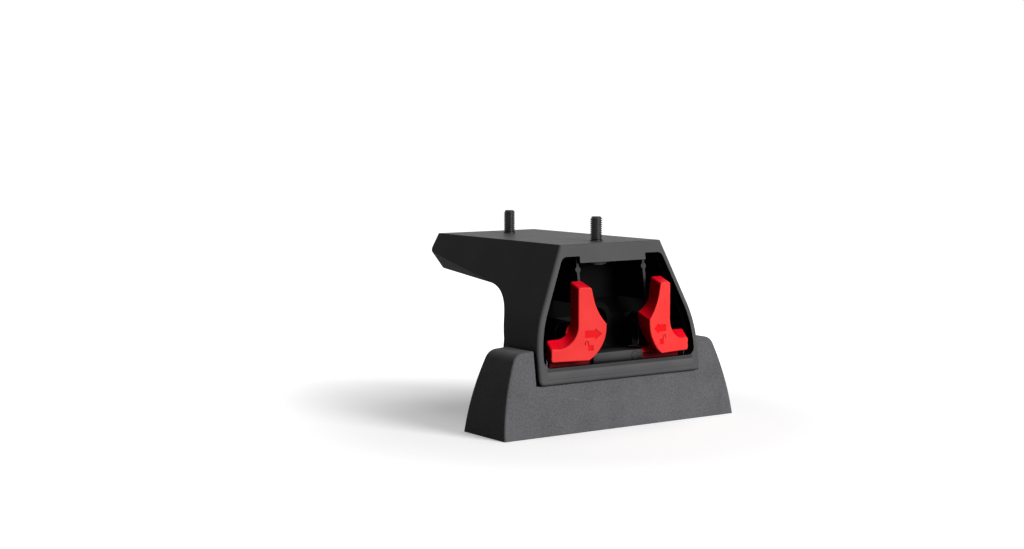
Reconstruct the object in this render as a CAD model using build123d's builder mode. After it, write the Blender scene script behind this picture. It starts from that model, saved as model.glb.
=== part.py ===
from build123d import *
import os
from math import cos, radians, sin

# Roof rack foot: a moulded leg with a long arm on top, which stands in the notch of a roof pad.
# Two pinch levers in its front bay hold it down with steel claws. Millimetres; the origin is the
# centre of the pad's underside, X runs along the pad, -Y is the lever side and +Y the arm's way.

# Roof pad
pad_length = 140.0
pad_depth = 34.5
pad_end_inset = 10.2
pad_end_bulge = 1.8
pad_side_inset = 5.85
pad_edge_radius = 1.0
horn_height = 39.0
horn_rise = 0.8
horn_end_radius = 6.0
seat_height = 23.4
notch_gap = 0.6

# Leg and arm
leg_width = 98.2
knee_height = 47.3
saddle_width = 61.5
saddle_height = 88.5
leg_front_base = 16.3
leg_front_top = 6.8
leg_back_base = 14.3
leg_back_knee = 43.2
leg_back_lean = 0.335
bend_height = 66.7
bend_radius = 24.0
chin_setback = 10.0
chin_height = 71.0
chin_radius = 1.5
nose_overhang = 22.0
nose_height = 80.4
nose_radius = 2.5
tip_setback = 1.5
arm_bevel = 5.0
bevel_land = 1.6
bevel_root_y = 35.0
bevel_tip_drop = 1.4
knee_radius = 52.0
leg_corner_radius = 2.5
leg_edge_radius = 1.6

# Front bay
rim_side = 3.1
rim_top = 5.8
rim_thickness = 3.0
rim_corner_radius = 4.0
sill_height = 31.5
ledge = 1.2
header_width = 40.0
header_drop = 3.2
floor_height = 28.0
web_thickness = 3.2
web_foot = 3.0
web_waist = 7.4
web_waist_height = 52.0
pocket_back = 14.0
pocket_height = 60.0
saddle_thickness = 4.0
partition_gap = 38.8
partition_thickness = 1.4
partition_setback = 2.2
partition_boss_radius = 1.5
partition_boss_height = 76.2
block_height = 36.2
block_setback = 2.8
lock_boss_radius = 9.0
lock_boss_proud = 2.6
lock_bore_radius = 6.0
lock_bore_depth = 4.2
lock_height = 49.7

# Ribs under the arm and behind the web
rib_thickness = 2.4
rib_gap = 7.5
rear_pocket_foot = 34.0
cross_rib_first = 36.0
cross_rib_pitch = 21.0
cross_ribs = 2

# Levers: widths are measured from the pin's axis, and the toe and the tail end at the bay's side
pivot_inset = 20.5
pivot_z = 46.5
squeeze = 10.0
lever_back = 11.0
lever_face_turn = 10.3
lever_top = 68.6
lever_top_back = 71.2
lever_bottom = 34.2
handle_inner = 4.3
handle_outer = 2.5
toe_gap = 4.2
toe_top = 40.0
toe_top_back = 44.3
toe_curve = 10.8
toe_curve_back = 8.0
heel = 3.5
heel_back = 1.0
belly = 12.3
belly_depth = 20.2
belly_height = 49.0
belly_height_back = 52.5
belly_tip = 2.0
belly_bulge = 2.3
neck = 5.9
neck_height = 62.2
neck_height_back = 60.6
neck_hollow = 0.75
lever_corner = 1.2
lever_edge_radius = 0.5
tail_bottom = 30.2
tail_top = 36.6
tail_reach = 10.2
spring_room = 5.3
hub_radius = 5.2
stop_gap = 0.3
sill_gap = 2.0

# Claws, their pins, clips and rivets: widths are measured from the pin's axis
claw_front = 3.0
claw_thickness = 5.0
claw_eye_radius = 5.5
shank_inset = 2.0
shank_width = 4.0
hook_grip = 3.5
hook_height = 3.4
hook_gap = 0.15
yoke_reach_in = 8.1
yoke_reach_out = 10.1
yoke_margin = 0.3
claw_side_gap = 0.6
pin_radius = 3.0
pin_nose = 10.0
pin_tail = 2.4
press_gap = 0.02
running_gap = 0.05
boss_radius = 5.6
boss_gap = 0.4
boss_back = 10.4
clip_gap = 0.3
clip_thickness = 1.0
clip_radius = 4.8
clip_mouth = 3.4
clip_groove = 0.7
pin_chamfer = 0.35
rivet_radius = 1.6
rivet_head_radius = 2.8
rivet_head = 0.9
rivet_depth = 5.0
rivet_inset = 3.2

# Hairpin springs between each lever's tail and the side wall
spring_strip = 0.6
spring_width = 5.0
spring_seat_gap = 0.2
spring_height = 7.4

# Plate in the pad
plate_inset = 0.8
plate_depth = 23.0
plate_thickness = 4.0
plate_corner = 3.0
plate_fit = 0.2
plate_edge_gap = 0.3
release_room = 1.0
hook_room = 1.6
roof_hole_inset = 6.9
roof_hole_radius = 3.3
roof_sink_radius = 6.2

# Shoulder bolts that stand up out of the arm, and their washers
stud_radius = 3.0
stud_chamfer = 0.5
shoulder_radius = 3.3
bolt_hole_gap = 0.2
bolt_front_y = 5.5
bolt_spacing = 74.0
stud_height = 12.0
bolt_head_radius = 5.0
bolt_head_height = 6.0
bolt_socket = 5.0
bolt_socket_depth = 3.0
washer_radius = 6.0
washer_thickness = 1.6
bolt_boss_radius = 7.5
bolt_boss_drop = 4.0
bolt_access_radius = 8.0

# Lines that several pieces share
far = 2 * pad_length
ceiling_height = saddle_height - saddle_thickness
bay_half_bottom = leg_width / 2 - rim_side
wall_inner = bay_half_bottom - ledge
pivot_x = bay_half_bottom - pivot_inset
tail_inner = pivot_x - tail_reach
tail_end = wall_inner - spring_room
block_width = 2 * (tail_inner - stop_gap)
plate_length = leg_width - 2 * plate_inset
plate_bottom = seat_height - plate_thickness
roof_hole_spacing = plate_length - 2 * roof_hole_inset
claw_back = claw_thickness - claw_front
claw_middle = (claw_back - claw_front) / 2
shank_inner = pivot_x - shank_inset
shank_outer = shank_inner + shank_width
yoke_inner = pivot_x - yoke_reach_in
yoke_outer = pivot_x + yoke_reach_out
claw_reach = pivot_z - plate_bottom
release_travel = claw_reach * sin(radians(squeeze))
hook_bottom = plate_bottom - hook_gap - hook_height
rivet_z = (tail_bottom + tail_top) / 2
rivet_places = [(yoke_inner + rivet_inset, rivet_z), (yoke_outer - rivet_inset, rivet_z)]
window_inner = shank_inner - plate_edge_gap
window_outer = shank_outer + release_travel + release_room
rear_wall = arm_bevel + bevel_land
bolt_rear_y = bolt_front_y + bolt_spacing
nose_reach = bolt_rear_y + nose_overhang
tip_reach = nose_reach - tip_setback
chin_reach = nose_reach - chin_setback
bevel_tip_z = nose_height - bevel_tip_drop
bevel_tip_y = nose_reach - chin_setback * bevel_tip_drop / (nose_height - chin_height)
bolt_hole_radius = shoulder_radius + bolt_hole_gap

os.makedirs("parts", exist_ok=True)


def leg_front(z):
    """Y of the leg's leaning front at a height."""
    rise = (z - seat_height) / (saddle_height - seat_height)
    return -leg_front_base + (leg_front_base - leg_front_top) * rise


def leg_back(z):
    """Y of the leg's back at a height below the bend: upright at the foot, then leaning."""
    return leg_back_base + leg_back_lean * max(0, z - leg_back_knee)


def leg_half(z):
    """Half the leg's width at a height."""
    taper = (leg_width - saddle_width) / 2 / (saddle_height - knee_height)
    return leg_width / 2 - taper * max(0, z - knee_height)


def web_face(z):
    """Y of the web's front face at a height, below its waist."""
    return web_foot + (web_waist - web_foot) * (z - floor_height) / (web_waist_height - floor_height)


def leg_outline(inset, bottom, top):
    """The leg's front outline, narrowed by an inset and cut at two heights, with rounded knees."""
    with BuildSketch(Plane.XZ) as outline:
        with BuildLine():
            Polyline(
                (leg_half(bottom) - inset, bottom),
                (leg_half(knee_height) - inset, knee_height),
                (leg_half(top) - inset, top),
                (inset - leg_half(top), top),
                (inset - leg_half(knee_height), knee_height),
                (inset - leg_half(bottom), bottom),
                close=True,
            )
        make_face()
        fillet(outline.vertices().group_by(Axis.Y)[1], knee_radius)
    return outline.sketch


def save(piece, name):
    """Label a finished piece and write it."""
    piece.part.label = name
    export_step(piece.part, f"parts/{name}.step")


# What stands forward in the bay: two partitions with a round boss on each, and the middle block
partition_pitch = partition_gap + partition_thickness
with BuildPart() as bay_inserts:
    with BuildSketch(Plane.XY.offset(pocket_height)):
        with GridLocations(partition_pitch, 1, 2, 1):
            Rectangle(partition_thickness, far)
    extrude(amount=saddle_height - pocket_height)
    with BuildSketch(Plane.XZ):
        with Locations((0, partition_boss_height)):
            with GridLocations(partition_pitch, 1, 2, 1):
                Circle(partition_boss_radius)
    extrude(amount=far, both=True)
    with BuildSketch(Plane.YZ):
        with BuildLine():
            Polyline(
                (leg_front(0) + partition_setback, 0),
                (far, 0),
                (far, saddle_height),
                (leg_front(saddle_height) + partition_setback, saddle_height),
                close=True,
            )
        make_face()
    extrude(amount=far, both=True, mode=Mode.INTERSECT)
    with BuildSketch(Plane.XZ.offset(-leg_front(sill_height) - block_setback)):
        with Locations((0, floor_height)):
            Rectangle(block_width, block_height - floor_height, align=(Align.CENTER, Align.MIN))
    extrude(amount=-far)

# Opening in the leg's front: a trapezium with a header tab in the middle of its top edge
opening_top = saddle_height - rim_top
with BuildPart() as opening_cut:
    with BuildSketch(Plane.XZ):
        with BuildLine():
            Polyline(
                (bay_half_bottom, sill_height),
                (leg_half(knee_height) - rim_side, knee_height),
                (leg_half(opening_top) - rim_side, opening_top),
                (header_width / 2, opening_top),
                (header_width / 2, opening_top - header_drop),
                (-header_width / 2, opening_top - header_drop),
                (-header_width / 2, opening_top),
                (rim_side - leg_half(opening_top), opening_top),
                (rim_side - leg_half(knee_height), knee_height),
                (-bay_half_bottom, sill_height),
                close=True,
            )
        make_face()
    extrude(amount=far, both=True)
    wall_edges = opening_cut.edges().filter_by(Axis.Y)
    upper_corners = wall_edges.group_by(Axis.Z)[-1].sort_by(Axis.X)
    fillet(wall_edges.group_by(Axis.Z)[0] + [upper_corners[0], upper_corners[-1]], radius=rim_corner_radius)
    for way in (1, -1):
        wall_knee = (way * (leg_half(knee_height) - rim_side), 0, knee_height)
        fillet(opening_cut.edges().sort_by_distance(wall_knee)[0], radius=knee_radius)
    with BuildSketch(Plane.YZ):
        with BuildLine():
            Polyline(
                (-far, 0),
                (leg_front(0) + rim_thickness + ledge, 0),
                (leg_front(saddle_height) + rim_thickness + ledge, saddle_height),
                (-far, saddle_height),
                close=True,
            )
        make_face()
    extrude(amount=far, both=True, mode=Mode.INTERSECT)
    add(bay_inserts.part, mode=Mode.SUBTRACT)

# Bay behind the opening, less what stands forward in it, the lock boss and the pin bosses
with BuildPart() as bay_cut:
    with BuildSketch(Plane.YZ):
        with BuildLine():
            Polyline(
                (leg_front(floor_height) + rim_thickness, floor_height),
                (web_foot, floor_height),
                (web_waist, web_waist_height),
                (pocket_back, pocket_height),
                (pocket_back, ceiling_height),
                (leg_front(ceiling_height) + rim_thickness, ceiling_height),
                close=True,
            )
        make_face()
    extrude(amount=far, both=True)
    extrude(leg_outline(rim_side + ledge, 0, saddle_height), amount=far, both=True, mode=Mode.INTERSECT)
    add(bay_inserts.part, mode=Mode.SUBTRACT)
    with BuildSketch(Plane.XZ.offset(lock_boss_proud - web_face(lock_height))):
        with Locations((0, lock_height)):
            Circle(lock_boss_radius)
    extrude(amount=-far, mode=Mode.SUBTRACT)
    with BuildSketch(Plane.XZ.offset(-claw_back - boss_gap)):
        with Locations((pivot_x, pivot_z), (-pivot_x, pivot_z)):
            Circle(boss_radius)
    extrude(amount=-far, mode=Mode.SUBTRACT)

# Ribbed hollow under the arm and behind the web, open to the back and below
with BuildPart() as rear_cut:
    with BuildSketch(Plane.YZ):
        with BuildLine():
            Polyline(
                (web_face(rear_pocket_foot) + web_thickness, rear_pocket_foot),
                (web_waist + web_thickness, web_waist_height),
                (pocket_back + web_thickness, pocket_height),
                (pocket_back + web_thickness, ceiling_height),
                (tip_reach - rear_wall, ceiling_height),
                (tip_reach - rear_wall, rear_pocket_foot),
                close=True,
            )
        make_face()
    extrude(amount=far, both=True)
    extrude(leg_outline(rear_wall, 0, saddle_height), amount=far, both=True, mode=Mode.INTERSECT)
    inner_rib = pivot_x - rib_gap
    outer_rib = pivot_x + rib_gap
    with BuildSketch(Plane.XY):
        with Locations(*[(x, 0) for x in (0, inner_rib / 2, inner_rib, outer_rib)]):
            Rectangle(rib_thickness, far)
        mirror(about=Plane.YZ)
        with Locations(*[(0, cross_rib_first + row * cross_rib_pitch) for row in range(cross_ribs)]):
            Rectangle(far, rib_thickness)
    extrude(amount=saddle_height, mode=Mode.SUBTRACT)
    with BuildSketch(Plane.XZ):
        with Locations((pivot_x, pivot_z), (-pivot_x, pivot_z)):
            Circle(boss_radius)
    extrude(amount=-boss_back, mode=Mode.SUBTRACT)
    with BuildSketch(Plane.XY.offset(ceiling_height - bolt_boss_drop)):
        with Locations((0, bolt_rear_y)):
            Circle(bolt_access_radius)
    extrude(amount=-saddle_height)
    with BuildSketch(Plane.XY.offset(ceiling_height - bolt_boss_drop)):
        with Locations((0, bolt_rear_y)):
            Circle(bolt_boss_radius)
    extrude(amount=bolt_boss_drop, mode=Mode.SUBTRACT)

# Leg: side profile and front outline meet, the arm's lower edges are bevelled from the bend to the
# nose, then the bay, the ribbed hollow and the holes are cut
bevel_root_rise = (bevel_root_y - leg_back(bend_height)) / (chin_reach - leg_back(bend_height))
bevel_root_z = bend_height + (chin_height - bend_height) * bevel_root_rise
with BuildPart() as leg_housing:
    with BuildSketch(Plane.YZ) as side:
        with BuildLine():
            Polyline(
                (leg_front(seat_height), seat_height),
                (leg_front(saddle_height), saddle_height),
                (tip_reach, saddle_height),
                (nose_reach, nose_height),
                (chin_reach, chin_height),
                (leg_back(bend_height), bend_height),
                (leg_back(leg_back_knee), leg_back_knee),
                (leg_back(seat_height), seat_height),
                close=True,
            )
        make_face()
        fillet(side.vertices().sort_by_distance((leg_back(bend_height), bend_height))[0], bend_radius)
        fillet(side.vertices().sort_by_distance((chin_reach, chin_height))[0], chin_radius)
    extrude(amount=far, both=True)
    extrude(leg_outline(0, seat_height, saddle_height), amount=far, both=True, mode=Mode.INTERSECT)
    fillet(leg_housing.edges().sort_by_distance((0, nose_reach, nose_height))[0], nose_radius)
    fillet(leg_housing.edges().filter_by(Axis.Y).group_by(Axis.Z)[0], leg_corner_radius)
    fillet(leg_housing.faces().sort_by(Axis.Y)[0].edges(), leg_edge_radius)
    for way in (1, -1):
        bevel_root = Vector(way * leg_half(bevel_root_z), bevel_root_y, bevel_root_z)
        bevel_tip = Vector(way * leg_half(bevel_tip_z), bevel_tip_y, bevel_tip_z)
        bevel_chin = Vector(way * (leg_half(chin_height) - arm_bevel), chin_reach, chin_height)
        along = bevel_tip - bevel_root
        outward = along.cross(bevel_chin - bevel_root) * -way
        bevel_plane = Plane(origin=bevel_root, x_dir=along, z_dir=outward)
        corner = bevel_plane.to_local_coords(bevel_chin)
        with BuildSketch(bevel_plane):
            with BuildLine():
                Polyline((0, 0), (along.length, 0), (corner.X, 2 * corner.Y), close=True)
            make_face()
        extrude(amount=2 * arm_bevel, mode=Mode.SUBTRACT)
    add(opening_cut.part, mode=Mode.SUBTRACT)
    add(bay_cut.part, mode=Mode.SUBTRACT)
    add(rear_cut.part, mode=Mode.SUBTRACT)
    with BuildSketch(Plane.XY.offset(saddle_height)):
        with Locations((0, bolt_front_y), (0, bolt_rear_y)):
            Circle(bolt_hole_radius)
    extrude(amount=ceiling_height - bolt_boss_drop - saddle_height, mode=Mode.SUBTRACT)
    with BuildSketch(Plane.XZ.offset(lock_boss_proud - web_face(lock_height))):
        with Locations((0, lock_height)):
            Circle(lock_bore_radius)
    extrude(amount=-lock_bore_depth, mode=Mode.SUBTRACT)
    with BuildSketch(Plane.XZ):
        with Locations((pivot_x, pivot_z), (-pivot_x, pivot_z)):
            Circle(pin_radius + running_gap)
    extrude(amount=-boss_back, mode=Mode.SUBTRACT)
    with BuildSketch(Plane.XY.offset(floor_height)):
        with Locations(((window_inner + window_outer) / 2, claw_middle)):
            Rectangle(window_outer - window_inner, claw_thickness + 2 * claw_side_gap)
        mirror(about=Plane.YZ)
    extrude(amount=seat_height - floor_height, mode=Mode.SUBTRACT)
save(leg_housing, "leg_housing")

# Roof pad: bulged ends, leaning sides, and a notch for the leg
notch_half = leg_width / 2 + notch_gap
with BuildPart() as base_pad:
    with BuildSketch(Plane.XZ) as pad_profile:
        with BuildLine():
            end_top = pad_length / 2 - pad_end_inset
            pad_top = horn_height + horn_rise * end_top / (end_top - notch_half)
            Polyline((-pad_length / 2, 0), (pad_length / 2, 0))
            SagittaArc((pad_length / 2, 0), (end_top, horn_height), -pad_end_bulge)
            Polyline((end_top, horn_height), (0, pad_top), (-end_top, horn_height))
            SagittaArc((-end_top, horn_height), (-pad_length / 2, 0), -pad_end_bulge)
        make_face()
        fillet(pad_profile.vertices().group_by(Axis.Y)[1], horn_end_radius)
    extrude(amount=pad_depth, both=True)
    side_lean = pad_side_inset / horn_height
    with BuildSketch(Plane.YZ):
        with BuildLine():
            Polyline(
                (-pad_depth / 2, 0),
                (pad_depth / 2, 0),
                (pad_depth / 2 - side_lean * pad_top, pad_top),
                (side_lean * pad_top - pad_depth / 2, pad_top),
                close=True,
            )
        make_face()
    extrude(amount=far, both=True, mode=Mode.INTERSECT)
    lean_faces = base_pad.faces().sort_by(Axis.Y)
    rim_edges = lean_faces[0].edges().sort_by(Axis.Z)[1:] + lean_faces[-1].edges().sort_by(Axis.Z)[1:]
    fillet(rim_edges, radius=pad_edge_radius)
    with BuildSketch(Plane.XZ):
        with Locations((0, seat_height)):
            Rectangle(2 * notch_half, pad_top, align=(Align.CENTER, Align.MIN))
    extrude(amount=far, both=True, mode=Mode.SUBTRACT)
    with BuildSketch(Plane.XY.offset(seat_height)):
        RectangleRounded(plate_length + 2 * plate_fit, plate_depth + 2 * plate_fit, plate_corner)
    extrude(amount=-plate_thickness, mode=Mode.SUBTRACT)
    with BuildSketch(Plane.XY.offset(plate_bottom)):
        pocket_inner = shank_inner - hook_grip - hook_room
        pocket_outer = window_outer + hook_room
        with Locations(((pocket_inner + pocket_outer) / 2, claw_middle)):
            Rectangle(pocket_outer - pocket_inner, claw_thickness + 2 * hook_room)
        mirror(about=Plane.YZ)
    extrude(amount=hook_bottom - hook_room - plate_bottom, mode=Mode.SUBTRACT)
    with BuildSketch(Plane.XY):
        with GridLocations(roof_hole_spacing, 1, 2, 1):
            Circle(roof_hole_radius)
    extrude(amount=seat_height, mode=Mode.SUBTRACT)
save(base_pad, "base_pad")

# Steel plate in the pad, with a window for each claw and two countersunk roof holes
with BuildPart() as base_plate:
    with BuildSketch(Plane.XY.offset(plate_bottom)):
        RectangleRounded(plate_length, plate_depth, plate_corner)
        with Locations(((window_inner + window_outer) / 2, claw_middle)):
            Rectangle(window_outer - window_inner, claw_thickness + 2 * claw_side_gap, mode=Mode.SUBTRACT)
        with Locations((-(window_inner + window_outer) / 2, claw_middle)):
            Rectangle(window_outer - window_inner, claw_thickness + 2 * claw_side_gap, mode=Mode.SUBTRACT)
    extrude(amount=plate_thickness)
    with Locations(Plane.XY.offset(seat_height)):
        with GridLocations(roof_hole_spacing, 1, 2, 1):
            CounterSinkHole(roof_hole_radius, roof_sink_radius)
save(base_plate, "base_plate")


def lever_outline(plane, across, top, toe_height, curve, heel_reach, belly_z, neck_z):
    """A lever's outline on a plane through the pin's axis, with its widths divided by across."""
    toe = (bay_half_bottom - toe_gap - pivot_x) / across
    heel_point = (-heel_reach / across, lever_bottom)
    belly_low = (-belly / across, belly_z)
    belly_high = (-belly / across, belly_z + belly_tip)
    neck_point = (-neck / across, neck_z)
    with BuildSketch(plane) as outline:
        with BuildLine():
            FilletPolyline(
                neck_point,
                (-handle_inner / across, top),
                (handle_outer / across, top),
                (handle_outer / across, toe_height),
                (toe, toe_height),
                (toe, lever_bottom),
                heel_point,
                radius=[lever_corner, lever_corner, curve, lever_corner, lever_corner],
            )
            SagittaArc(heel_point, belly_low, belly_bulge)
            Line(belly_low, belly_high)
            SagittaArc(belly_high, neck_point, -neck_hollow)
        make_face()
    return outline.sketch


# Lever: face turned outwards, flared towards its back, with a tail block and a hub behind it
turn = radians(lever_face_turn)
face_plane = Plane(
    origin=(pivot_x, belly * sin(turn) / cos(turn) - belly_depth, 0),
    x_dir=(cos(turn), sin(turn), 0),
    z_dir=(sin(turn), -cos(turn), 0),
)
rear_plane = Plane(origin=(pivot_x, -lever_back, 0), x_dir=(1, 0, 0), z_dir=(0, -1, 0))
lever_face = lever_outline(
    face_plane, cos(turn), lever_top, toe_top, toe_curve, heel, belly_height, neck_height
)
lever_rear = lever_outline(
    rear_plane, 1, lever_top_back, toe_top_back,
    toe_curve_back, heel_back, belly_height_back, neck_height_back,
)
tail_front = -leg_front(sill_height) - rim_thickness - sill_gap
with BuildPart() as lever_right:
    loft([lever_rear, lever_face], ruled=True)
    fillet(lever_right.faces().sort_by(Axis.Y)[0].edges(), lever_edge_radius)
    with BuildSketch(Plane.XZ.offset(lever_back)):
        with Locations(((tail_inner + tail_end) / 2, tail_top)):
            Rectangle(tail_end - tail_inner, tail_top - lever_bottom, align=(Align.CENTER, Align.MAX))
        with Locations((pivot_x, pivot_z)):
            Circle(hub_radius)
            Rectangle(2 * hub_radius, pivot_z - lever_bottom, align=(Align.CENTER, Align.MAX))
    extrude(amount=claw_front - lever_back)
    with BuildSketch(Plane.XZ.offset(tail_front)):
        with Locations(((tail_inner + tail_end) / 2, tail_top)):
            Rectangle(tail_end - tail_inner, tail_top - tail_bottom, align=(Align.CENTER, Align.MAX))
    extrude(amount=claw_front - tail_front)
    with BuildSketch(Plane.XZ.offset(claw_front)):
        with Locations((pivot_x, pivot_z)):
            Circle(pin_radius + press_gap)
    extrude(amount=pin_nose - claw_front, mode=Mode.SUBTRACT)
    with BuildSketch(Plane.XZ.offset(claw_front)):
        with Locations(*rivet_places):
            Circle(rivet_radius + press_gap)
    extrude(amount=rivet_depth, mode=Mode.SUBTRACT)

# Claw: eye on the pin, yoke riveted to the lever's tail, shank and inward hook under the plate
with BuildPart() as claw_right:
    with BuildSketch(Plane.XZ.offset(claw_front)):
        with Locations((pivot_x, pivot_z)):
            Circle(claw_eye_radius)
        with Locations((pivot_x, rivet_z)):
            Rectangle(2 * claw_eye_radius, pivot_z - rivet_z, align=(Align.CENTER, Align.MIN))
        with Locations(((yoke_inner + yoke_outer) / 2, rivet_z)):
            Rectangle(yoke_outer - yoke_inner, tail_top - tail_bottom - 2 * yoke_margin)
        with Locations(((shank_inner + shank_outer) / 2, hook_bottom)):
            Rectangle(shank_width, rivet_z - hook_bottom, align=(Align.CENTER, Align.MIN))
        with Locations((shank_outer, hook_bottom)):
            Rectangle(shank_width + hook_grip, hook_height, align=(Align.MAX, Align.MIN))
    extrude(amount=-claw_thickness)
    with BuildSketch(Plane.XZ.offset(claw_front)):
        with Locations((pivot_x, pivot_z)):
            Circle(pin_radius + press_gap)
        with Locations(*rivet_places):
            Circle(rivet_radius + press_gap)
    extrude(amount=-claw_thickness, mode=Mode.SUBTRACT)

# Rivets through the yoke into the tail block
with BuildPart() as claw_rivets_right:
    with BuildSketch(Plane.XZ.offset(-claw_back)):
        with Locations(*rivet_places):
            Circle(rivet_radius)
    extrude(amount=claw_thickness + rivet_depth)
    with BuildSketch(Plane.XZ.offset(-claw_back)):
        with Locations(*rivet_places):
            Circle(rivet_head_radius)
    extrude(amount=-rivet_head)

# Pin pressed into the lever and the claw, turning in the web's boss, with a clip behind it
clip_front = boss_back + clip_gap
pin_end = clip_front + clip_thickness + pin_tail
with BuildPart() as lever_pin_right:
    with BuildSketch(Plane.XZ.offset(pin_nose)):
        with Locations((pivot_x, pivot_z)):
            Circle(pin_radius)
    extrude(amount=-pin_nose - pin_end)
    with BuildSketch(Plane.XZ.offset(-clip_front)):
        with Locations((pivot_x, pivot_z)):
            Circle(pin_radius)
            Circle(pin_radius - clip_groove, mode=Mode.SUBTRACT)
    extrude(amount=-clip_thickness, mode=Mode.SUBTRACT)
    chamfer(lever_pin_right.edges().filter_by(GeomType.CIRCLE).group_by(Axis.Y)[-1], pin_chamfer)

with BuildPart() as pin_clip_right:
    with BuildSketch(Plane.XZ.offset(-clip_front)):
        with Locations((pivot_x, pivot_z)):
            Circle(clip_radius)
            Circle(pin_radius - clip_groove, mode=Mode.SUBTRACT)
            Rectangle(clip_mouth, far, align=(Align.CENTER, Align.MAX), mode=Mode.SUBTRACT)
    extrude(amount=-clip_thickness)

# Hairpin spring between the tail's end and the side wall of the bay
spring_outer = wall_inner - spring_seat_gap - spring_strip / 2
spring_inner = tail_end + stop_gap + spring_strip / 2
spring_bend = (spring_outer - spring_inner) / 2
spring_foot = floor_height + spring_seat_gap + spring_strip / 2
spring_front = (tail_front + claw_front + spring_width) / 2
with BuildPart() as leaf_spring_right:
    with BuildSketch(Plane.XZ.offset(spring_front)):
        with BuildLine():
            Line((spring_outer, spring_foot + spring_height), (spring_outer, spring_foot + spring_bend))
            ThreePointArc(
                (spring_outer, spring_foot + spring_bend),
                (spring_outer - spring_bend, spring_foot),
                (spring_inner, spring_foot + spring_bend),
            )
            Line((spring_inner, spring_foot + spring_bend), (spring_inner, spring_foot + spring_height))
        trace(line_width=spring_strip)
    extrude(amount=-spring_width)

# Both sides of everything that comes in a pair
pairs = {
    "lever": lever_right,
    "claw": claw_right,
    "claw_rivets": claw_rivets_right,
    "lever_pin": lever_pin_right,
    "pin_clip": pin_clip_right,
    "leaf_spring": leaf_spring_right,
}
for name, right_piece in pairs.items():
    save(right_piece, f"{name}_right")
    with BuildPart() as left_piece:
        mirror(right_piece.part, about=Plane.YZ)
    save(left_piece, f"{name}_left")

# Shoulder bolts, head down, and their washers
for place, bolt_y, seat in (
    ("front", bolt_front_y, ceiling_height),
    ("rear", bolt_rear_y, ceiling_height - bolt_boss_drop),
):
    with BuildPart() as bar_washer:
        with BuildSketch(Plane.XY.offset(seat)):
            with Locations((0, bolt_y)):
                Circle(washer_radius)
                Circle(bolt_hole_radius, mode=Mode.SUBTRACT)
        extrude(amount=-washer_thickness)
    save(bar_washer, f"bar_washer_{place}")

    head_top = seat - washer_thickness
    with BuildPart() as bar_bolt:
        with BuildSketch(Plane.XY.offset(head_top)):
            with Locations((0, bolt_y)):
                Circle(bolt_head_radius)
        extrude(amount=-bolt_head_height)
        with BuildSketch(Plane.XY.offset(head_top)):
            with Locations((0, bolt_y)):
                Circle(shoulder_radius)
        extrude(amount=saddle_height - head_top)
        with BuildSketch(Plane.XY.offset(saddle_height)):
            with Locations((0, bolt_y)):
                Circle(stud_radius)
        extrude(amount=stud_height)
        chamfer(bar_bolt.edges().group_by(Axis.Z)[-1], stud_chamfer)
        with BuildSketch(Plane.XY.offset(head_top - bolt_head_height)):
            with Locations((0, bolt_y)):
                RegularPolygon(bolt_socket / 2, 6, major_radius=False)
        extrude(amount=bolt_socket_depth, mode=Mode.SUBTRACT)
    save(bar_bolt, f"bar_bolt_{place}")
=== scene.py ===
import bmesh
import bpy
from math import cos, pi, radians, sin, tan
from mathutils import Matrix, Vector


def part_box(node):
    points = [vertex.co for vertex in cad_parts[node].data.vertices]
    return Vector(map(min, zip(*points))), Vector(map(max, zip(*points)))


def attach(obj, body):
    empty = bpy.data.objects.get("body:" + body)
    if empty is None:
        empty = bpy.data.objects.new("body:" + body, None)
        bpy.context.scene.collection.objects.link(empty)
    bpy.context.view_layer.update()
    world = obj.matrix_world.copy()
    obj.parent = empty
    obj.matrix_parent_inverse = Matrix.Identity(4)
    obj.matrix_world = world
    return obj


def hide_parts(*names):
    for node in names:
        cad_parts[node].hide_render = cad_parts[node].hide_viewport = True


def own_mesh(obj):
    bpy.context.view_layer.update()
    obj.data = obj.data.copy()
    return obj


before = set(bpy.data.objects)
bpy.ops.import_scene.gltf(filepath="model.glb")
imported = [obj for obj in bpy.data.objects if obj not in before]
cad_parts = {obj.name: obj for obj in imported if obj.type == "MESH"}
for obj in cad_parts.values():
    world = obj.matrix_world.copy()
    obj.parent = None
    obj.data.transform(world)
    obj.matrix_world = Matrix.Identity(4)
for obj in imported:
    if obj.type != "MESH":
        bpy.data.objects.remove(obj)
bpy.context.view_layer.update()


# Roof pad
# A block of moulded rubber that stands on the roof, with a horn at each end and a notch for the leg.
# Its mould is spark eroded, so every face has a fine dull grain, rubbed a little smoother on the edges.
# The edges are painted paler, partly as rubbed wear and partly as painted highlight, and painted shade
# darkens the pad's own hollows.
noise_span, patch_span = (0.3, 0.7), (0.35, 0.65)
# The span over which edges turn paler, as rubbed wear and painted highlight, and the reach of the painted
# shade in hollows.
wear_and_highlight_span, hollow_shade_reach = (1.0, 0.86), 0.03
grain_swing, grain_strength = 0.06, 0.6


def worked_out(tree, operation, one, two=0.0):
    """One step of arithmetic in a node tree, between sockets or numbers."""
    step = tree.nodes.new("ShaderNodeMath")
    step.operation = operation
    for value, socket in ((one, step.inputs[0]), (two, step.inputs[1])):
        if isinstance(value, float):
            socket.default_value = value
        else:
            tree.links.new(value, socket)
    return step.outputs["Value"]


def ranged(tree, value, span, least=0.0, most=1.0, way="LINEAR"):
    """A value that runs over a span, brought to run from least to most."""
    run = tree.nodes.new("ShaderNodeMapRange")
    run.interpolation_type = way
    for label, number in zip(("From Min", "From Max", "To Min", "To Max"), (*span, least, most)):
        run.inputs[label].default_value = number
    tree.links.new(value, run.inputs["Value"])
    return run.outputs["Result"]


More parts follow.
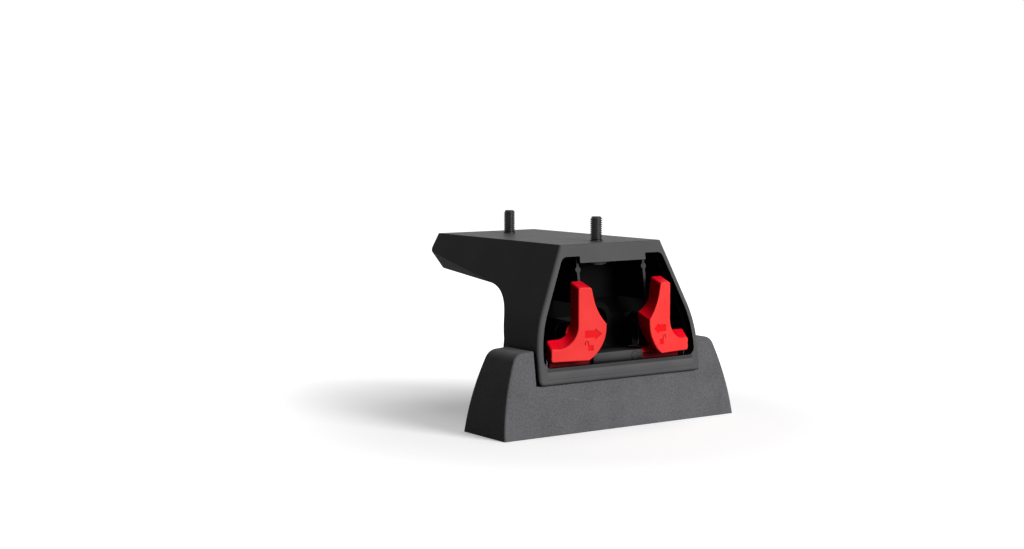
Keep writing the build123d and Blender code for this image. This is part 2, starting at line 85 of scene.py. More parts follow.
def toned(tree, share, one, two, way="MIX", within=True):
    """Two colours, each plain or from a socket, mixed by a share."""
    mix = tree.nodes.new("ShaderNodeMix")
    mix.data_type = "RGBA"
    mix.blend_type = way
    mix.clamp_factor = within
    tree.links.new(share, mix.inputs[0])
    for colour, socket in ((one, mix.inputs[6]), (two, mix.inputs[7])):
        if isinstance(colour, tuple):
            socket.default_value = (*colour, 1)
        else:
            tree.links.new(colour, socket)
    return mix.outputs[2]


def mottled(tree, place, scale, detail):
    """Noise over a surface, at a scale."""
    noise = tree.nodes.new("ShaderNodeTexNoise")
    noise.inputs["Scale"].default_value = scale
    noise.inputs["Detail"].default_value = detail
    tree.links.new(place, noise.inputs["Vector"])
    return noise.outputs[0]


def rounded_edges(tree, radius, samples):
    """The surface's normal with its edges rounded to a radius."""
    bevel = tree.nodes.new("ShaderNodeBevel")
    bevel.samples = samples
    bevel.inputs["Radius"].default_value = radius
    return bevel.outputs["Normal"]


def bumped(tree, height, normal, strength, relief):
    """A normal with the bumps of a height on it."""
    bump = tree.nodes.new("ShaderNodeBump")
    bump.inputs["Strength"].default_value = strength
    bump.inputs["Distance"].default_value = relief
    tree.links.new(height, bump.inputs["Height"])
    tree.links.new(normal, bump.inputs["Normal"])
    return bump.outputs["Normal"]


def moulded_finish(
    name, colour, patch_colour, worn_and_highlit_colour, hollow_shade_colour,
    *, patch, grain, speckle, relief, roughness, gloss, edge, hollow_shade_span=(0.5, 0.9), own_hollows=False,
):
    """A moulded surface: patches of tone, speckled grain, paler edges of rubbed wear and painted highlight,
    and painted shade in its hollows.
    """
    material = bpy.data.materials.new(name)
    material.use_nodes = True
    tree = material.node_tree
    shader = tree.nodes["Principled BSDF"].inputs
    shader["Specular IOR Level"].default_value = gloss
    place = tree.nodes.new("ShaderNodeTexCoord").outputs["Object"]
    patches = mottled(tree, place, patch, detail=4)
    fine = mottled(tree, place, grain, detail=3)

    rounded = rounded_edges(tree, edge, samples=6)
    bend = tree.nodes.new("ShaderNodeVectorMath")
    bend.operation = "DOT_PRODUCT"
    tree.links.new(rounded, bend.inputs[0])
    tree.links.new(tree.nodes.new("ShaderNodeNewGeometry").outputs["Normal"], bend.inputs[1])
    # Paler edges: partly rubbed wear, partly painted highlight.
    wear_and_highlight = worked_out(tree, "MULTIPLY", ranged(tree, bend.outputs["Value"], wear_and_highlight_span), patches)

    fleck = ranged(tree, fine, noise_span, -speckle, speckle)
    share = worked_out(tree, "ADD", ranged(tree, patches, patch_span), fleck)
    flecked = toned(tree, share, colour, patch_colour, within=False)
    worn_and_highlit = toned(tree, wear_and_highlight, flecked, worn_and_highlit_colour)
    # Painted shade: ambient occlusion darkens the hollows towards the hollow colour.
    openness = tree.nodes.new("ShaderNodeAmbientOcclusion")
    openness.samples = 16
    openness.only_local = own_hollows
    openness.inputs["Distance"].default_value = hollow_shade_reach
    open_share = ranged(tree, openness.outputs["AO"], hollow_shade_span)
    tree.links.new(toned(tree, open_share, hollow_shade_colour, worn_and_highlit), shader["Base Color"])

    dull = ranged(tree, fine, noise_span, roughness - grain_swing, roughness + grain_swing)
    tree.links.new(dull, shader["Roughness"])
    tree.links.new(bumped(tree, fine, rounded, grain_strength, relief), shader["Normal"])
    return material


def dress(node, material):
    """Give a solid its finish."""
    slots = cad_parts[node].data.materials
    slots.clear()
    slots.append(material)


pad_rubber = moulded_finish(
    "pad_rubber",
    colour=(0.103, 0.102, 0.108), patch_colour=(0.121, 0.120, 0.127),
    worn_and_highlit_colour=(0.154, 0.153, 0.160), hollow_shade_colour=(0.030, 0.030, 0.032),
    patch=60, grain=1300, speckle=1.3, relief=0.00014, roughness=0.66, gloss=0.07, edge=0.0005,
    own_hollows=True,
)
dress("base_pad", pad_rubber)


# Roof plate
# A strip of zinc-plated steel let into the pad and screwed through it to the roof. It is pressed from
# sheet, so faint rolling lines run along it, and each leg claw hooks under the edge of a window in it.
cloud_scale, metal_edge = 160, 0.0002
line_polish, line_dulling, line_strength = 0.08, 0.1, 0.4


def metal_finish(name, colour, tint_colour, along, streak, roughness, relief):
    """A metal surface with tool or rolling lines drawn out along one axis and a patchy tint."""
    material = bpy.data.materials.new(name)
    material.use_nodes = True
    tree = material.node_tree
    shader = tree.nodes["Principled BSDF"].inputs
    shader["Metallic"].default_value = 1.0
    place = tree.nodes.new("ShaderNodeTexCoord").outputs["Object"]
    drawn = tree.nodes.new("ShaderNodeMapping")
    drawn.inputs["Scale"].default_value = along
    tree.links.new(place, drawn.inputs["Vector"])
    lines = mottled(tree, drawn.outputs["Vector"], streak, detail=4)
    clouds = mottled(tree, place, cloud_scale, detail=5)
    tree.links.new(toned(tree, clouds, colour, tint_colour), shader["Base Color"])
    dull = ranged(tree, lines, noise_span, roughness - line_polish, roughness + line_dulling)
    tree.links.new(dull, shader["Roughness"])
    rounded = rounded_edges(tree, metal_edge, samples=4)
    tree.links.new(bumped(tree, lines, rounded, line_strength, relief), shader["Normal"])
    return material


plated_sheet = metal_finish(
    "plated_sheet", colour=(0.44, 0.45, 0.47), tint_colour=(0.34, 0.35, 0.36),
    along=(0.08, 1, 1), streak=1800, roughness=0.4, relief=0.00002,
)
dress("base_plate", plated_sheet)


# Leg
# One large moulding in black glass-filled nylon: leg, arm and open front bay. The outside has a fine
# satin grain with a parting line along the sill, and a band of painted highlight and a band of painted
# shade run along the sill's top edge. The bay is painted deep black as shade, and a round ejector mark
# shows on the middle block behind the sill.
black_nylon = moulded_finish(
    "black_nylon",
    colour=(0.082, 0.081, 0.084), patch_colour=(0.094, 0.093, 0.096),
    worn_and_highlit_colour=(0.160, 0.159, 0.163), hollow_shade_colour=(0.004, 0.004, 0.004),
    patch=45, grain=2200, speckle=0.5, relief=0.00006, roughness=0.46, gloss=0.026, edge=0.0005,
)
dress("leg_housing", black_nylon)
front_foot_y, front_foot_z, front_lean = -0.0163, 0.0234, 0.0095 / 0.0651
bay_half_width, knee_z, side_taper = 0.0466, 0.0473, 0.4447
block_top, bay_top, bay_back = 0.0370, 0.0844, 0.0160
bay_depth, bay_shade_black = (0.0014, 0.0034), (0.003, 0.003, 0.003)


def place_on(tree):
    """The three coordinates of a place on a piece."""
    spot = tree.nodes.new("ShaderNodeSeparateXYZ")
    tree.links.new(tree.nodes.new("ShaderNodeTexCoord").outputs["Object"], spot.inputs["Vector"])
    return spot.outputs["X"], spot.outputs["Y"], spot.outputs["Z"]


nylon = black_nylon.node_tree
nylon_colour = nylon.nodes["Principled BSDF"].inputs["Base Color"]
leg_x, leg_y, leg_z = place_on(nylon)
aside = worked_out(nylon, "ABSOLUTE", leg_x)
lean = worked_out(nylon, "MULTIPLY", worked_out(nylon, "SUBTRACT", leg_z, front_foot_z), front_lean)
behind = worked_out(nylon, "SUBTRACT", leg_y, worked_out(nylon, "ADD", lean, front_foot_y))
above_knee = worked_out(nylon, "MAXIMUM", worked_out(nylon, "SUBTRACT", leg_z, knee_z))
taper = worked_out(nylon, "MULTIPLY", above_knee, side_taper)
side_line = worked_out(nylon, "SUBTRACT", bay_half_width, taper)
# Painted shade: the bay behind the front face is painted near black.
bay_shade_share = ranged(nylon, behind, bay_depth, way="SMOOTHSTEP")
for comparison, value, limit in (
    ("LESS_THAN", aside, side_line),
    ("GREATER_THAN", leg_z, block_top),
    ("LESS_THAN", leg_z, bay_top),
    ("LESS_THAN", leg_y, bay_back),
):
    bay_shade_share = worked_out(nylon, "MULTIPLY", bay_shade_share, worked_out(nylon, comparison, value, limit))
bay_shaded = toned(nylon, bay_shade_share, nylon_colour.links[0].from_socket, bay_shade_black)

# Along the sill: a dark parting line, then a band of painted highlight and, at the top edge, a band of
# painted shade.
sill_foot, sill_top, sill_half_width, sill_skin = front_foot_z, 0.0318, 0.0445, 0.0006
sill_line_highlight_and_shade_ramp = nylon.nodes.new("ShaderNodeValToRGB")
half_tones = sill_line_highlight_and_shade_ramp.color_ramp.elements
half_tones[0].color, half_tones[1].color = (0.50, 0.50, 0.50, 1), (0.30, 0.30, 0.30, 1)
for height, tone in (
    (0.0260, 0.50), (0.0263, 0.42), (0.0266, 0.51), (0.0280, 0.54), (0.0288, 0.60), (0.0296, 0.60),
    (0.0300, 0.30),
):
    half_tones.new((height - sill_foot) / (sill_top - sill_foot)).color = (tone, tone, tone, 1)
nylon.links.new(ranged(nylon, leg_z, (sill_foot, sill_top)), sill_line_highlight_and_shade_ramp.inputs["Fac"])
doubled = nylon.nodes.new("ShaderNodeVectorMath")
doubled.operation = "SCALE"
doubled.inputs["Scale"].default_value = 2.0
nylon.links.new(sill_line_highlight_and_shade_ramp.outputs["Color"], doubled.inputs[0])
on_sill = worked_out(nylon, "LESS_THAN", behind, sill_skin)
for value, limit in ((leg_z, sill_top), (aside, sill_half_width)):
    on_sill = worked_out(nylon, "MULTIPLY", on_sill, worked_out(nylon, "LESS_THAN", value, limit))
lined_and_shaded = toned(nylon, on_sill, bay_shaded, doubled.outputs["Vector"], way="MULTIPLY")
nylon.links.new(lined_and_shaded, nylon_colour)


def skin_over(shape, rings):
    """Add a closed skin over rings of points, one after another, to a bmesh."""
    rows = [[shape.verts.new(point) for point in ring] for ring in rings]
    for one, two in zip(rows, rows[1:]):
        for k in range(len(one)):
            shape.faces.new((one[k - 1], one[k], two[k], two[k - 1]))
    shape.faces.new(rows[0])
    shape.faces.new(rows[-1])


def in_scene(name, data):
    """A new object in the scene."""
    thing = bpy.data.objects.new(name, data)
    bpy.context.scene.collection.objects.link(thing)
    return thing


def skinned_piece(name, rings, material, sharp):
    """A piece with a skin over rings, smooth but for edges sharper than an angle."""
    shape = bmesh.new()
    skin_over(shape, rings)
    bmesh.ops.recalc_face_normals(shape, faces=shape.faces)
    mesh = bpy.data.meshes.new(name)
    shape.to_mesh(mesh)
    shape.free()
    mesh.materials.append(material)
    mesh.polygons.foreach_set("use_smooth", [True] * len(mesh.polygons))
    mesh.set_sharp_from_angle(angle=sharp)
    return in_scene(name, mesh)


def circle_angles(count):
    """Angles evenly round a circle."""
    return [2 * pi * k / count for k in range(count)]


mark_x, mark_y, mark_z = 0.0103, -0.01232, 0.0337
mark_steps = [
    (0.00175, -0.0002), (0.00175, 0.00004), (0.00190, 0.00014), (0.00205, 0.00014), (0.00218, -0.0002),
]
ejector_mark = skinned_piece(
    "ejector_mark",
    [
        [(mark_x + radius * cos(a), mark_y - proud, mark_z + radius * sin(a)) for a in circle_angles(40)]
        for radius, proud in mark_steps
    ],
    black_nylon, sharp=radians(35),
)
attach(ejector_mark, "foot")


# Pinch levers
# A mirrored pair moulded in red nylon. The grained faces keep the plain red; the sides, polished in the
# mould, take a darker copy of it as painted shade. An arrow that says which way to squeeze and an open
# padlock are sunk 0.2 mm into each face, where the red is deeper. Behind, the tail and the hub on the pin
# are painted dark as shade.
red_nylon = moulded_finish(
    "red_nylon",
    colour=(0.88, 0.034, 0.032), patch_colour=(0.92, 0.042, 0.038),
    worn_and_highlit_colour=(0.95, 0.085, 0.075), hollow_shade_colour=(0.32, 0.001, 0.006),
    patch=70, grain=2400, speckle=0.4, relief=0.00003, roughness=0.44, gloss=0.12, edge=0.0004,
    hollow_shade_span=(0.32, 0.70),
)
sunk_red = moulded_finish(
    "sunk_red",
    colour=(0.85, 0.004, 0.008), patch_colour=(0.89, 0.006, 0.010),
    worn_and_highlit_colour=(0.92, 0.010, 0.014), hollow_shade_colour=(0.62, 0.002, 0.005),
    patch=70, grain=2400, speckle=0.4, relief=0.00005, roughness=0.55, gloss=0.08, edge=0.0002,
)
# The sides: polished smoother, with a darker red that is painted shade.
polished_and_shaded_red = moulded_finish(
    "polished_and_shaded_red",
    colour=(0.76, 0.001, 0.013), patch_colour=(0.80, 0.002, 0.015),
    worn_and_highlit_colour=(0.86, 0.010, 0.025), hollow_shade_colour=(0.58, 0.001, 0.010),
    patch=70, grain=2400, speckle=0.4, relief=0.00002, roughness=0.36, gloss=0.05, edge=0.0004,
    hollow_shade_span=(0.32, 0.70),
)
# The hub on the pin: painted near black as shade.
hub_shade_red = moulded_finish(
    "hub_shade_red",
    colour=(0.020, 0.001, 0.001), patch_colour=(0.026, 0.002, 0.002),
    worn_and_highlit_colour=(0.030, 0.002, 0.002), hollow_shade_colour=(0.008, 0.001, 0.001),
    patch=90, grain=2400, speckle=0.4, relief=0.00003, roughness=0.40, gloss=0.08, edge=0.0003,
)
# The tail behind the face: painted dark as shade.
tail_shade_red = moulded_finish(
    "tail_shade_red",
    colour=(0.22, 0.002, 0.005), patch_colour=(0.25, 0.003, 0.006),
    worn_and_highlit_colour=(0.30, 0.004, 0.008), hollow_shade_colour=(0.10, 0.001, 0.003),
    patch=90, grain=2400, speckle=0.4, relief=0.00003, roughness=0.50, gloss=0.05, edge=0.0003,
)
lever_finishes = [red_nylon, sunk_red, polished_and_shaded_red, hub_shade_red, tail_shade_red]
face_turn = radians(10.3)
belly_x, belly_y = 0.0132, -0.0202
edge_depth, hub_front, tail_top = 0.0005, -0.0109, 0.0375
sliver, sign_depth, sign_skin = 0.00005, 0.0002, 0.00003
sign_left, sign_right, sign_foot, sign_top = 0.0150, 0.0260, 0.0380, 0.0500
arrow = [
    (15.9, 46.6), (19.4, 49.3), (19.4, 48.3), (24.8, 48.3), (24.8, 44.9), (19.4, 44.9), (19.4, 43.9),
]
lock_left, lock_right, lock_foot, lock_top = 20.3, 23.1, 38.7, 41.3
padlock_body = [
    (lock_left, lock_foot), (lock_left, lock_top), (lock_right, lock_top), (lock_right, lock_foot),
]
bow_x, bow_z, bow_end, bow_wide, bow_narrow = 23.75, 42.3, 41.5, 1.15, 0.5
bow_steps = [pi * k / 10 for k in range(11)]
padlock_bow = (
    [(bow_x - bow_wide, lock_top)]
    + [(bow_x - bow_wide * cos(a), bow_z + bow_wide * sin(a)) for a in bow_steps]
    + [(bow_x + bow_wide, bow_end), (bow_x + bow_narrow, bow_end)]
    + [(bow_x + bow_narrow * cos(a), bow_z + bow_narrow * sin(a)) for a in bow_steps]
    + [(bow_x - bow_narrow, lock_top)]
)


def on_lever_face(x, z, side, proud):
    """A point on a lever's face, given in millimetres, stood off by proud metres."""
    x = x / 1000
    y = belly_y + (x - belly_x) * tan(face_turn)
    return Vector((side * (x + proud * sin(face_turn)), y - proud * cos(face_turn), z / 1000))


def evaluated_mesh(thing):
    """A plain mesh of an object with its modifiers worked out."""
    bpy.context.view_layer.update()
    return bpy.data.meshes.new_from_object(thing.evaluated_get(bpy.context.evaluated_depsgraph_get()))


for name, side in (("left", -1), ("right", 1)):
    blank = bmesh.new()
    blank.from_mesh(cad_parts[f"lever_{name}"].data)
    bmesh.ops.remove_doubles(blank, verts=blank.verts, dist=sliver)
    bmesh.ops.dissolve_degenerate(blank, edges=blank.edges, dist=sliver / 2)
    blank_mesh = bpy.data.meshes.new(f"pinch_lever_{name}")
    blank.to_mesh(blank_mesh)
    blank.free()
    lever = in_scene(f"pinch_lever_{name}", blank_mesh)

    punch_shape = bmesh.new()
    for outline in (arrow, padlock_body, padlock_bow):
        ends = (-sign_depth, sign_depth)
        skin_over(punch_shape, [[on_lever_face(x, z, side, proud) for x, z in outline] for proud in ends])
    bmesh.ops.recalc_face_normals(punch_shape, faces=punch_shape.faces)
    punch_mesh = bpy.data.meshes.new("sign_punch")
    punch_shape.to_mesh(punch_mesh)
    punch_shape.free()
    punch = in_scene("sign_punch", punch_mesh)
    sink = lever.modifiers.new("sink", "BOOLEAN")
    sink.operation = "DIFFERENCE"
    sink.solver = "EXACT"
    sink.use_self = True
    sink.object = punch
    lever_mesh = evaluated_mesh(lever)
    lever.modifiers.remove(sink)
    bpy.data.objects.remove(punch)
    lever.data = lever_mesh

    lever_mesh.materials.clear()
    for finish in lever_finishes:
        lever_mesh.materials.append(finish)
    lever_mesh.attributes.remove(lever_mesh.attributes["custom_normal"])
    lever_mesh.set_sharp_from_angle(angle=radians(28))
    for face in lever_mesh.polygons:
        x, y, z = face.center
        under = (y - belly_y - (abs(x) - belly_x) * tan(face_turn)) * cos(face_turn)
        by_sign = sign_left < abs(x) < sign_right and sign_foot < z < sign_top
        # The sign's floor and walls take the deeper red, the hub and tail behind get painted shade, and the
        # sides get the painted-shade red.
        if by_sign and sign_skin < under < edge_depth:
            finish = sunk_red
        elif y > hub_front:
            finish = hub_shade_red if z > tail_top else tail_shade_red
        elif under > edge_depth:
            finish = polished_and_shaded_red
        else:
            finish = red_nylon
        face.material_index = lever_finishes.index(finish)
        face.use_smooth = abs(under) > edge_depth
    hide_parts(f"lever_{name}")
    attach(lever, f"{name}_lever")


# Claws and their rivets
# Each claw is blanked from 5 mm plated steel and riveted to the back of its lever's tail. Its hook
# turns in under the roof plate, its eye is painted dark as shade, and the rivets are bright
# with turned heads.
claw_steel = metal_finish(
    "claw_steel", colour=(0.42, 0.43, 0.45), tint_colour=(0.33, 0.34, 0.35),
    along=(1, 1, 0.1), streak=1500, roughness=0.42, relief=0.00002,
)
# Painted shade: the claw's upper end, round the eye, turns near black.
eye_shade_edge, eye_shade_black = (0.0375, 0.0410), (0.03, 0.03, 0.03)
claw_tree = claw_steel.node_tree
claw_colour = claw_tree.nodes["Principled BSDF"].inputs["Base Color"]
claw_z = place_on(claw_tree)[2]
eye_shaded = ranged(claw_tree, claw_z, eye_shade_edge, way="SMOOTHSTEP")
claw_tree.links.new(toned(claw_tree, eye_shaded, claw_colour.links[0].from_socket, eye_shade_black), claw_colour)
bright_steel = metal_finish(
    "bright_steel", colour=(0.62, 0.62, 0.64), tint_colour=(0.52, 0.53, 0.55),
    along=(1, 1, 1), streak=2400, roughness=0.28, relief=0.00001,
)
for name in ("left", "right"):
    dress(f"claw_{name}", claw_steel)
    dress(f"claw_rivets_{name}", bright_steel)


# Pins and clips
# Ground steel pins, pressed into the levers and turning in the web's bosses. A blued spring clip snaps
# into the groove of each pin behind the web.
pin_steel = metal_finish(
    "pin_steel", colour=(0.60, 0.60, 0.62), tint_colour=(0.54, 0.54, 0.56),
    along=(1, 0.1, 1), streak=2600, roughness=0.24, relief=0.00001,
)
spring_steel = metal_finish(
    "spring_steel", colour=(0.26, 0.27, 0.31), tint_colour=(0.20, 0.20, 0.22),
    along=(1, 0.1, 1), streak=1800, roughness=0.34, relief=0.00001,
)
for name in ("left", "right"):
    dress(f"lever_pin_{name}", pin_steel)
    dress(f"pin_clip_{name}", spring_steel)


# Hairpin springs
# A strip of blued spring steel bent double, with its bend on the bay's floor. It stands between each
# lever's tail and the side wall. The real spring closes up as the lever is squeezed; here it is one
# fixed shape, carried by the foot.
strip = 0.0006
bend_steps = [pi * k / 16 for k in range(17)]
for name, side in (("left", -1), ("right", 1)):
    low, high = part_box(f"leaf_spring_{name}")
    inner_x = min(abs(low.x), abs(high.x)) + strip / 2
    outer_x = max(abs(low.x), abs(high.x)) - strip / 2
    bend = (outer_x - inner_x) / 2
    bend_z = low.z + strip / 2 + bend
    line = [(outer_x, high.z, 1, 0)]
    line += [
        (inner_x + bend + bend * cos(a), bend_z - bend * sin(a), cos(a), -sin(a)) for a in bend_steps
    ]
    line += [(inner_x, high.z, -1, 0)]
    corners = ((1, low.y), (-1, low.y), (-1, high.y), (1, high.y))
    spring = skinned_piece(
        f"hairpin_spring_{name}",
        [
            [(side * (x + way * nx * strip / 2), y, z + way * nz * strip / 2) for way, y in corners]
            for x, z, nx, nz in line
        ],
        spring_steel, sharp=radians(35),
    )
    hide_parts(f"leaf_spring_{name}")
    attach(spring, "foot")
    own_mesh(spring)


# Shoulder bolts and washers
# Two shoulder bolts in black oxide stand up out of the arm, head down, to take a nut each. Their
# threads are rolled, their heads knurled, with a hexagon socket, and each has a plain washer.
black_steel = metal_finish(
    "black_steel", colour=(0.036, 0.036, 0.038), tint_colour=(0.028, 0.028, 0.030),
    along=(1, 1, 1), streak=2400, roughness=0.36, relief=0.00001,
)
saddle_z = 0.0885
stud_radius, shoulder_radius, shoulder_edge = 0.0030, 0.0033, 0.0002
head_radius, head_height, head_foot_edge, head_top_edge = 0.0050, 0.0060, 0.0004, 0.0003
socket_flat, socket_depth, socket_edge = 0.0025, 0.0030, 0.0003
thread_pitch, thread_tooth, thread_start, thread_end, tip_edge = 0.0010, 0.00028, 0.0009, 0.0006, 0.0004
neck_foot, neck_top = 0.0007, 0.0011
knurl_tooth, knurl_teeth, knurl_sink, knurl_margin = 0.0003, 44, 0.0002, 0.0007


def new_tree(name, sizes):
    """A geometry tree with its sizes and a material as inputs, and its two end nodes."""
    tree = bpy.data.node_groups.new(name, "GeometryNodeTree")
    tree.interface.new_socket("Geometry", in_out="OUTPUT", socket_type="NodeSocketGeometry")
    for label in sizes:
        kind = "NodeSocketInt" if label == "Teeth" else "NodeSocketFloat"
        tree.interface.new_socket(label, in_out="INPUT", socket_type=kind)
    tree.interface.new_socket("Material", in_out="INPUT", socket_type="NodeSocketMaterial")
    return tree, tree.nodes.new("NodeGroupInput").outputs, tree.nodes.new("NodeGroupOutput").inputs


def set_on_bolt(tree, sizes, finished, geometry):
    """Move a tree's geometry to its place on a bolt, make it real and give it its material."""
    spot = tree.nodes.new("ShaderNodeCombineXYZ")
    tree.links.new(sizes["Across"], spot.inputs["Y"])
    tree.links.new(sizes["Foot"], spot.inputs["Z"])
    placed = tree.nodes.new("GeometryNodeTransform")
    tree.links.new(geometry, placed.inputs["Geometry"])
    tree.links.new(spot.outputs["Vector"], placed.inputs["Translation"])
    whole = tree.nodes.new("GeometryNodeRealizeInstances")
    tree.links.new(placed.outputs["Geometry"], whole.inputs["Geometry"])
    coat = tree.nodes.new("GeometryNodeSetMaterial")
    tree.links.new(whole.outputs["Geometry"], coat.inputs["Geometry"])
    tree.links.new(sizes["Material"], coat.inputs["Material"])
    tree.links.new(coat.outputs["Geometry"], finished["Geometry"])


thread_tree, sizes, finished = new_tree(
    "rolled_thread", ("Radius", "Pitch", "Length", "Tooth", "Across", "Foot")
)
helix = thread_tree.nodes.new("GeometryNodeCurveSpiral")
helix.inputs["Resolution"].default_value = 32
turns = worked_out(thread_tree, "DIVIDE", sizes["Length"], sizes["Pitch"])
centre_line = worked_out(thread_tree, "SUBTRACT", sizes["Radius"], sizes["Tooth"])
thread_tree.links.new(turns, helix.inputs["Rotations"])
thread_tree.links.new(centre_line, helix.inputs["Start Radius"])
thread_tree.links.new(centre_line, helix.inputs["End Radius"])
thread_tree.links.new(sizes["Length"], helix.inputs["Height"])
ridge_profile = thread_tree.nodes.new("GeometryNodeCurvePrimitiveCircle")
ridge_profile.inputs["Resolution"].default_value = 8
thread_tree.links.new(sizes["Tooth"], ridge_profile.inputs["Radius"])
ridge = thread_tree.nodes.new("GeometryNodeCurveToMesh")
ridge.inputs["Fill Caps"].default_value = True
thread_tree.links.new(helix.outputs["Curve"], ridge.inputs["Curve"])
thread_tree.links.new(ridge_profile.outputs["Curve"], ridge.inputs["Profile Curve"])
smooth = thread_tree.nodes.new("GeometryNodeSetShadeSmooth")
thread_tree.links.new(ridge.outputs["Mesh"], smooth.inputs["Geometry"])
set_on_bolt(thread_tree, sizes, finished, smooth.outputs["Geometry"])

knurl_tree, sizes, finished = new_tree(
    "head_knurl", ("Radius", "Height", "Tooth", "Across", "Foot", "Teeth")
)
pitch_circle = knurl_tree.nodes.new("GeometryNodeMeshCircle")
knurl_tree.links.new(sizes["Teeth"], pitch_circle.inputs["Vertices"])
centre_line = worked_out(knurl_tree, "SUBTRACT", sizes["Radius"], sizes["Tooth"])
knurl_tree.links.new(centre_line, pitch_circle.inputs["Radius"])
tooth = knurl_tree.nodes.new("GeometryNodeMeshCylinder")
tooth.inputs["Vertices"].default_value = 6
knurl_tree.links.new(sizes["Tooth"], tooth.inputs["Radius"])
knurl_tree.links.new(sizes["Height"], tooth.inputs["Depth"])
teeth = knurl_tree.nodes.new("GeometryNodeInstanceOnPoints")
knurl_tree.links.new(pitch_circle.outputs["Mesh"], teeth.inputs["Points"])
knurl_tree.links.new(tooth.outputs["Mesh"], teeth.inputs["Instance"])
set_on_bolt(knurl_tree, sizes, finished, teeth.outputs["Instances"])


def grown(name, tree, values):
    """A plain mesh piece made by a node tree, with its named inputs set."""
    piece = in_scene(name, bpy.data.meshes.new(name))
    growth = piece.modifiers.new("growth", "NODES")
    growth.node_group = tree
    for item in tree.interface.items_tree:
        if item.in_out == "INPUT":
            growth[item.identifier] = values[item.name]
    mesh = evaluated_mesh(piece)
    piece.modifiers.remove(growth)
    piece.data = mesh
    return piece


around = circle_angles(48)
hexagon = [socket_flat / cos((a + pi / 6) % (pi / 3) - pi / 6) for a in around]
for place in ("front", "rear"):
    dress(f"bar_washer_{place}", black_steel)
    low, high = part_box(f"bar_bolt_{place}")
    bolt_y = (low.y + high.y) / 2
    head_z, head_top, tip_z = low.z, low.z + head_height, high.z
    knurl_root = head_radius - knurl_sink
    thread_root = stud_radius - 2 * thread_tooth
    turned_steps = [
        (knurl_root - head_foot_edge, head_z),
        (knurl_root, head_z + head_foot_edge),
        (knurl_root, head_top - head_top_edge),
        (knurl_root - head_top_edge, head_top),
        (shoulder_radius, head_top),
        (shoulder_radius, saddle_z - shoulder_edge),
        (shoulder_radius - shoulder_edge, saddle_z),
        (stud_radius, saddle_z),
        (stud_radius, saddle_z + neck_foot),
        (thread_root, saddle_z + neck_top),
        (thread_root, tip_z - tip_edge),
        (thread_root - tip_edge, tip_z),
    ]
    steps = [
        (hexagon, head_z + socket_depth),
        (hexagon, head_z + socket_edge),
        ([flat + socket_edge for flat in hexagon], head_z),
    ]
    steps += [([radius] * len(around), z) for radius, z in turned_steps]
    bolt = skinned_piece(
        f"shoulder_bolt_{place}",
        [[(r * cos(a), bolt_y + r * sin(a), z) for r, a in zip(radii, around)] for radii, z in steps],
        black_steel, sharp=radians(30),
    )
    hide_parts(f"bar_bolt_{place}")

    thread_foot = saddle_z + thread_start
    thread = grown(f"rolled_thread_{place}", thread_tree, {
        "Radius": stud_radius, "Pitch": thread_pitch, "Length": tip_z - thread_end - thread_foot,
        "Tooth": thread_tooth, "Across": bolt_y, "Foot": thread_foot, "Material": black_steel,
    })
    knurl = grown(f"head_knurl_{place}", knurl_tree, {
        "Radius": head_radius, "Height": head_height - 2 * knurl_margin, "Tooth": knurl_tooth,
        "Across": bolt_y, "Foot": head_z + head_height / 2, "Teeth": knurl_teeth, "Material": black_steel,
    })
    for piece in (bolt, thread, knurl):
        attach(piece, "foot")


# Floor, light and camera
# A white studio floor that fades into a white ground, a softbox overhead to the right and a key in
# front, and the camera at the photograph's place with its lens.
floor_reach, floor_z = 6.0, -0.0001
fade_span, floor_glow = (0.08, 0.28), 0.36
room_strength = 0.05


def seen_directly(tree):
    """The share of rays that come from the camera, a gloss or a clear surface."""
    rays = tree.nodes.new("ShaderNodeLightPath").outputs
    seen = worked_out(tree, "MAXIMUM", rays["Is Camera Ray"], rays["Is Glossy Ray"])
    return worked_out(tree, "MAXIMUM", seen, rays["Is Transmission Ray"])


def shown(tree, hidden, direct, surface):
    """One shader for the rays that see a thing directly and another for the rest."""
    either = tree.nodes.new("ShaderNodeMixShader")
    tree.links.new(seen_directly(tree), either.inputs[0])
    tree.links.new(hidden, either.inputs[1])
    tree.links.new(direct, either.inputs[2])
    tree.links.new(either.outputs["Shader"], surface)


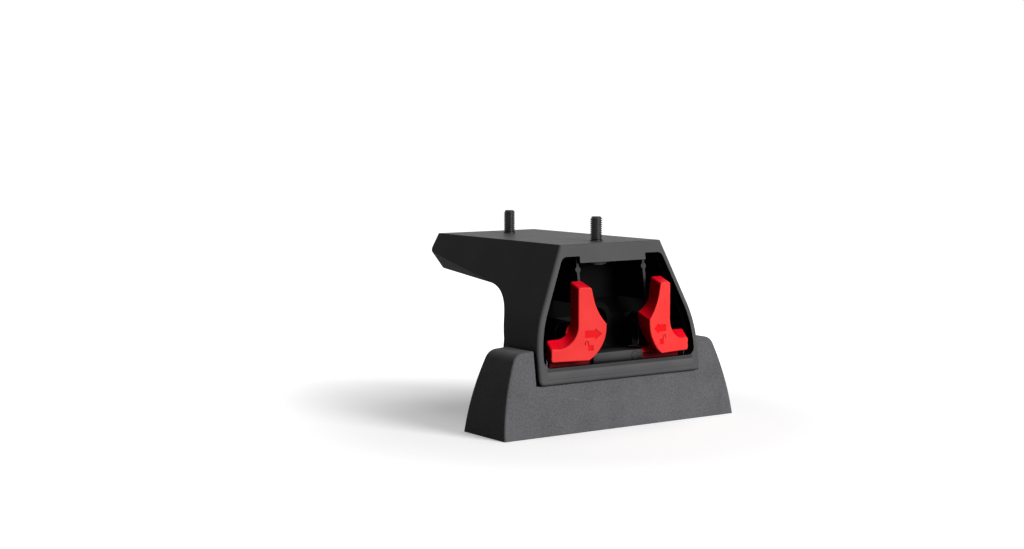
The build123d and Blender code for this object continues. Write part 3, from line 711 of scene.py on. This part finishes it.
floor_mesh = bpy.data.meshes.new("studio_floor")
floor_corners = [
    (-floor_reach, -floor_reach, floor_z), (floor_reach, -floor_reach, floor_z),
    (floor_reach, floor_reach, floor_z), (-floor_reach, floor_reach, floor_z),
]
floor_mesh.from_pydata(floor_corners, [], [(0, 1, 2, 3)])
floor = in_scene("studio_floor", floor_mesh)
floor_white = bpy.data.materials.new("floor_white")
floor_white.use_nodes = True
ground = floor_white.node_tree
dim = ground.nodes["Principled BSDF"]
dim.inputs["Base Color"].default_value = (0.06, 0.06, 0.06, 1)
dim.inputs["Specular IOR Level"].default_value = 0.0
matt = ground.nodes.new("ShaderNodeBsdfDiffuse")
matt.inputs["Color"].default_value = (0.95, 0.95, 0.95, 1)
away = ground.nodes.new("ShaderNodeVectorMath")
away.operation = "LENGTH"
ground.links.new(ground.nodes.new("ShaderNodeTexCoord").outputs["Object"], away.inputs[0])
fade = ranged(ground, away.outputs["Value"], fade_span, least=floor_glow, way="SMOOTHSTEP")
glow = ground.nodes.new("ShaderNodeEmission")
glow.inputs["Color"].default_value = (1, 1, 1, 1)
ground.links.new(fade, glow.inputs["Strength"])
lit = ground.nodes.new("ShaderNodeAddShader")
ground.links.new(matt.outputs["BSDF"], lit.inputs[0])
ground.links.new(glow.outputs["Emission"], lit.inputs[1])
shown(ground, dim.outputs["BSDF"], lit.outputs["Shader"], ground.nodes["Material Output"].inputs["Surface"])
floor_mesh.materials.append(floor_white)

world = bpy.data.worlds.new("white_studio")
bpy.context.scene.world = world
world.use_nodes = True
studio = world.node_tree
room = studio.nodes["Background"]
room.inputs["Color"].default_value = (1, 1, 1, 1)
room.inputs["Strength"].default_value = room_strength
white = studio.nodes.new("ShaderNodeBackground")
white.inputs["Color"].default_value = (1, 1, 1, 1)
backdrop = studio.nodes["World Output"].inputs["Surface"]
shown(studio, room.outputs["Background"], white.outputs["Background"], backdrop)

aim = Vector((0.0, 0.0, 0.05))
for name, place, size, power in (
    ("key_light", (0.42, -1.40, 0.52), 0.6, 27.0),
    ("overhead_softbox", (0.30, 0.10, 1.20), 0.7, 3.0),
):
    lamp_data = bpy.data.lights.new(name, "AREA")
    lamp_data.shape = "SQUARE"
    lamp_data.size = size
    lamp_data.energy = power
    lamp = in_scene(name, lamp_data)
    lamp.location = place
    lamp.rotation_euler = (aim - Vector(place)).to_track_quat("-Z", "Y").to_euler()

camera_data = bpy.data.cameras.new("photo_camera")
camera_data.sensor_width = 36
camera_data.lens = 59.70
camera_data.clip_start = 0.01
camera = in_scene("photo_camera", camera_data)
turn, tilt = radians(-34.944), radians(5.057)
back = Vector((sin(turn) * cos(tilt), -cos(turn) * cos(tilt), sin(tilt)))
camera.location = (-0.507074, -0.648517, 0.145181)
camera.rotation_euler = back.to_track_quat("Z", "Y").to_euler()
bpy.context.scene.camera = camera
bpy.context.scene.view_settings.view_transform = "Standard"
